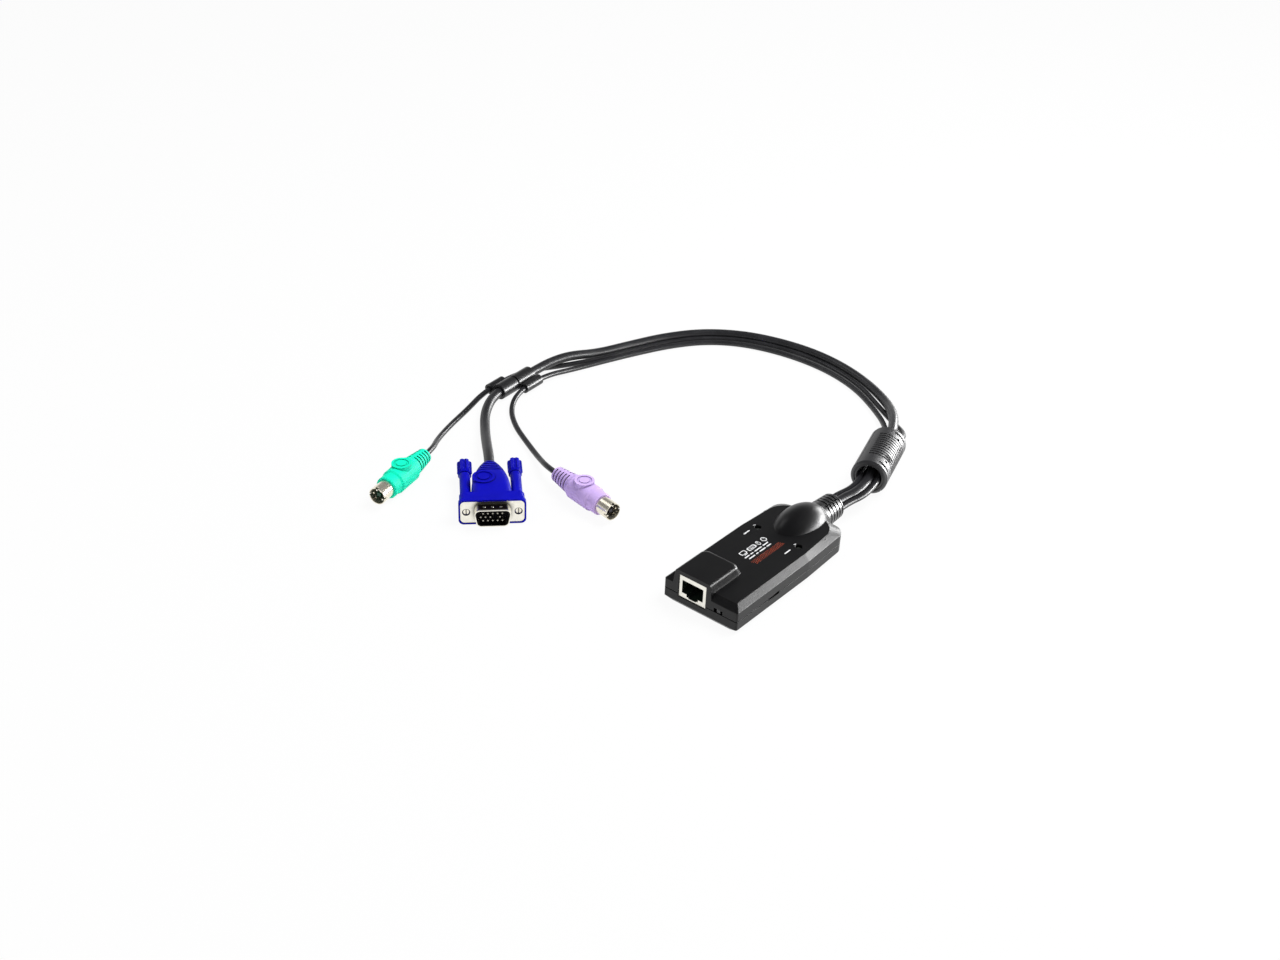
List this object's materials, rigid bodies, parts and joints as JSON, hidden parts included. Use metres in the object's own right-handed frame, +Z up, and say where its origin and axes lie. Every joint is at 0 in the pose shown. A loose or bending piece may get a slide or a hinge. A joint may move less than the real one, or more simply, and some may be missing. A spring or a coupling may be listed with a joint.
{
  "type": "kvm adapter module",
  "caption": "Small console-switch adapter module with a network jack, and three cords through a ferrite filter to a video plug and two round keyboard and mouse plugs.",
  "frame": {"origin": "under the middle of the module's box, on the surface it lies on; the box is that of the housing with its strain relief, without the cords and what is on them", "axes": "+Z up, -Y out of the network jack, +Y the way the cords leave, +X to the right seen from above with the jack towards the viewer"},
  "size_m": [0.2306, 0.2786, 0.0201],
  "materials": {
    "top_shell": "satin black moulded ABS",
    "bottom_shell": "satin black moulded ABS",
    "housing_screws": "black zinc screws",
    "circuit_board": "green solder mask on glass-fibre board",
    "main_chip": "moulded epoxy package",
    "video_chip": "moulded epoxy package",
    "crystal": "drawn metal can",
    "pulse_transformer": "moulded epoxy package",
    "capacitors": "sleeved aluminium cans",
    "cord_headers": "natural nylon",
    "jack_body": "black moulded plastic",
    "jack_shield": "nickel-plated sheet",
    "jack_contacts": "gold-plated spring wire",
    "switch_body": "black moulded plastic",
    "switch_knob": "dark grey moulded plastic",
    "online_lamp": "smoked epoxy",
    "power_lamp": "smoked epoxy",
    "strain_relief": "satin flexible PVC",
    "video_cord": "satin PVC jacket",
    "keyboard_cord": "satin PVC jacket",
    "mouse_cord": "satin PVC jacket",
    "ferrite_case_upper": "satin black nylon",
    "ferrite_case_lower": "satin black nylon",
    "ferrite_core_upper": "ground ferrite",
    "ferrite_core_lower": "ground ferrite",
    "cord_clip": "satin black moulding",
    "vga_hood": "satin blue PVC moulding",
    "vga_shell": "nickel-plated sheet",
    "vga_insulator": "black moulded plastic",
    "vga_pins": "plated pins",
    "left_thumbscrew": "satin blue moulding",
    "right_thumbscrew": "satin blue moulding",
    "left_screw": "nickel-plated steel",
    "right_screw": "nickel-plated steel",
    "keyboard_plug_body": "satin purple PVC moulding",
    "keyboard_plug_shell": "nickel-plated sheet",
    "keyboard_plug_insulator": "black moulded plastic",
    "keyboard_plug_pins": "plated pins",
    "mouse_plug_body": "satin green PVC moulding",
    "mouse_plug_shell": "nickel-plated sheet",
    "mouse_plug_insulator": "dark green moulded plastic",
    "mouse_plug_pins": "plated pins"
  },
  "bodies": {
    "adapter": {"top_shell": "top_shell", "bottom_shell": "bottom_shell", "housing_screws": "housing_screws", "circuit_board": "circuit_board", "main_chip": "main_chip", "video_chip": "video_chip", "crystal": "crystal", "pulse_transformer": "pulse_transformer", "capacitors": "capacitors", "cord_headers": "cord_headers", "jack_body": "jack_body", "jack_shield": "jack_shield", "jack_contacts": "jack_contacts", "switch_body": "switch_body", "online_lamp": "online_lamp", "power_lamp": "power_lamp", "strain_relief": "strain_relief", "video_cord": "video_cord", "keyboard_cord": "keyboard_cord", "mouse_cord": "mouse_cord", "ferrite_case_upper": "ferrite_case_upper", "ferrite_case_lower": "ferrite_case_lower", "ferrite_core_upper": "ferrite_core_upper", "ferrite_core_lower": "ferrite_core_lower", "cord_clip": "cord_clip", "vga_hood": "vga_hood", "vga_shell": "vga_shell", "vga_insulator": "vga_insulator", "vga_pins": "vga_pins", "keyboard_plug_body": "keyboard_plug_body", "keyboard_plug_shell": "keyboard_plug_shell", "keyboard_plug_insulator": "keyboard_plug_insulator", "keyboard_plug_pins": "keyboard_plug_pins", "mouse_plug_body": "mouse_plug_body", "mouse_plug_shell": "mouse_plug_shell", "mouse_plug_insulator": "mouse_plug_insulator", "mouse_plug_pins": "mouse_plug_pins"},
    "left_knob": {"left_thumbscrew": "left_thumbscrew", "left_screw": "left_screw"},
    "right_knob": {"right_thumbscrew": "right_thumbscrew", "right_screw": "right_screw"},
    "switch_slider": {"switch_knob": "switch_knob"}
  },
  "joints": [
    {"name": "left_thumbscrew_turn", "type": "hinge", "parent": "adapter", "child": "left_knob", "pos_m": [-0.14145, -0.05701, 0.0068], "axis": [-0.7169, 0.6972, 0], "continuous": true},
    {"name": "right_thumbscrew_turn", "type": "hinge", "parent": "adapter", "child": "right_knob", "pos_m": [-0.12403, -0.0391, 0.0068], "axis": [-0.7169, 0.6972, 0], "continuous": true},
    {"name": "switch_slide", "type": "slide", "parent": "adapter", "child": "switch_slider", "axis": [1, 0, 0], "range_m": [-0.0012, 0.0012]}
  ]
}
